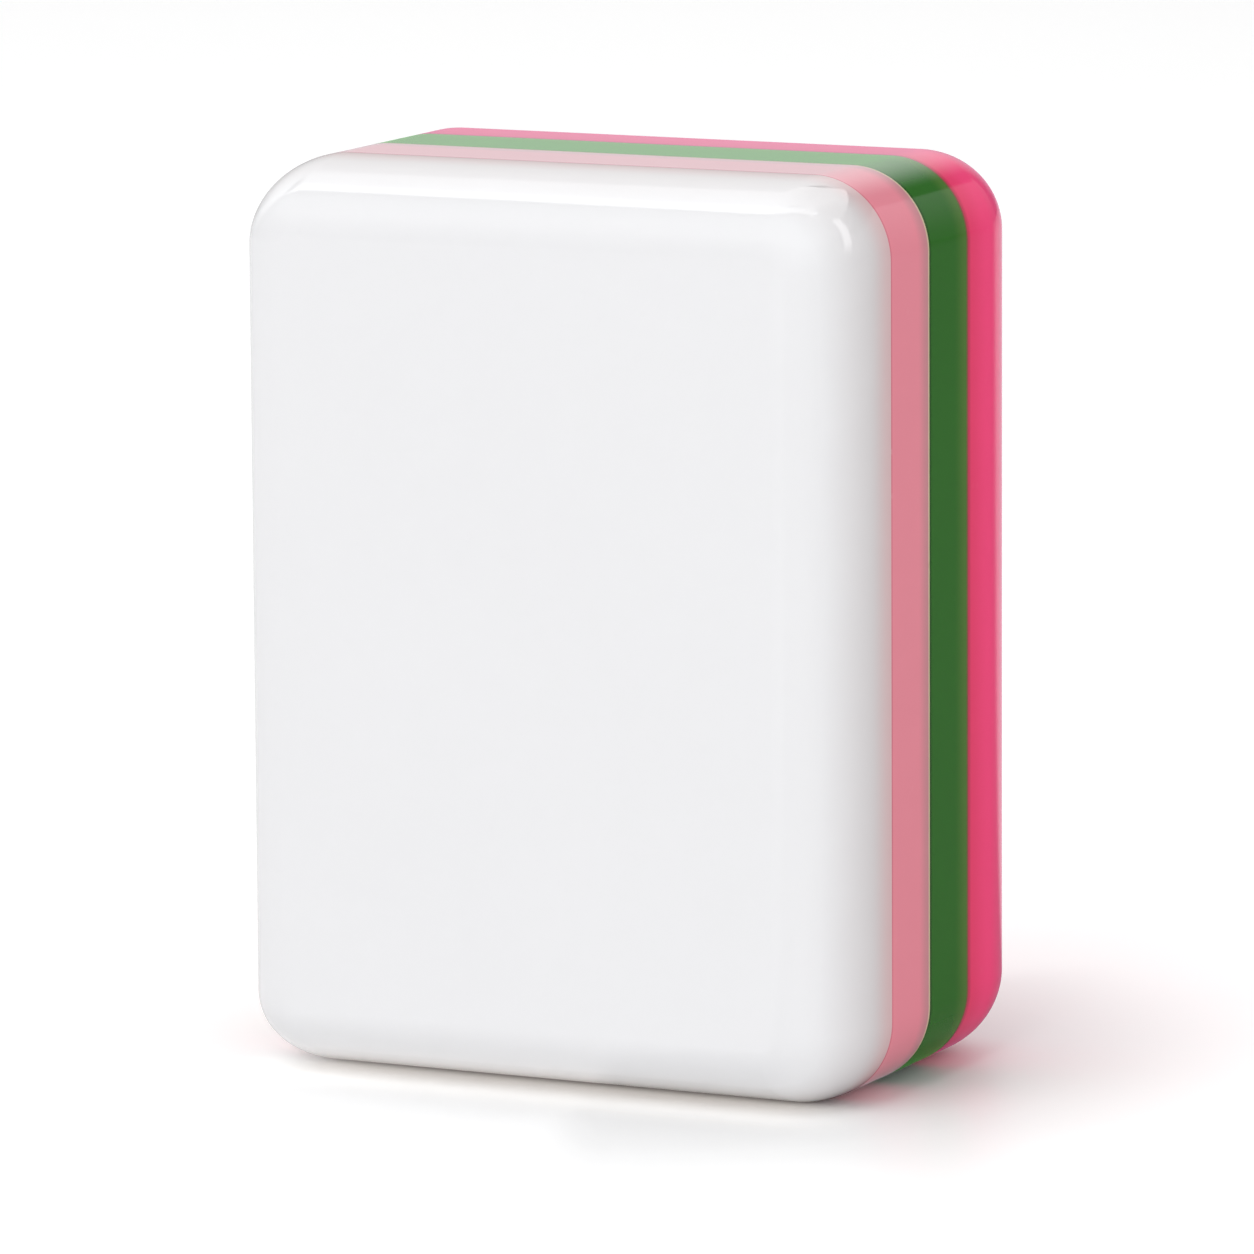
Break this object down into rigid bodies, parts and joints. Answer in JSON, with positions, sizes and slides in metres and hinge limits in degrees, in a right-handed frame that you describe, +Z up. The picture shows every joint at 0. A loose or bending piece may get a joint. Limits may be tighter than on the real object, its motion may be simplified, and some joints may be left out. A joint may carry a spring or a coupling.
{
  "type": "mahjong tile",
  "caption": "Blank laminated mahjong tile: thick white playing face, pale pink, green and hot pink layers, glue lines between them, soft polished rims; stands on its short end.",
  "frame": {"origin": "middle of the base, the short end that the tile stands on", "axes": "+Z up along the tile's height, +X along its width, +Y from the white playing face to the hot pink back"},
  "size_m": [0.022, 0.0154, 0.03],
  "materials": {
    "white_face": "polished white acrylic",
    "face_bond": "clear-pink cured glue line",
    "pale_pink_layer": "polished pale pink acrylic",
    "cream_bond": "cream cured glue line",
    "green_layer": "polished green acrylic",
    "back_bond": "dark olive cured glue line",
    "hot_pink_back": "polished hot pink acrylic"
  },
  "bodies": {
    "root": {"white_face": "white_face", "face_bond": "face_bond", "pale_pink_layer": "pale_pink_layer", "cream_bond": "cream_bond", "green_layer": "green_layer", "back_bond": "back_bond", "hot_pink_back": "hot_pink_back"}
  },
  "joints": []
}
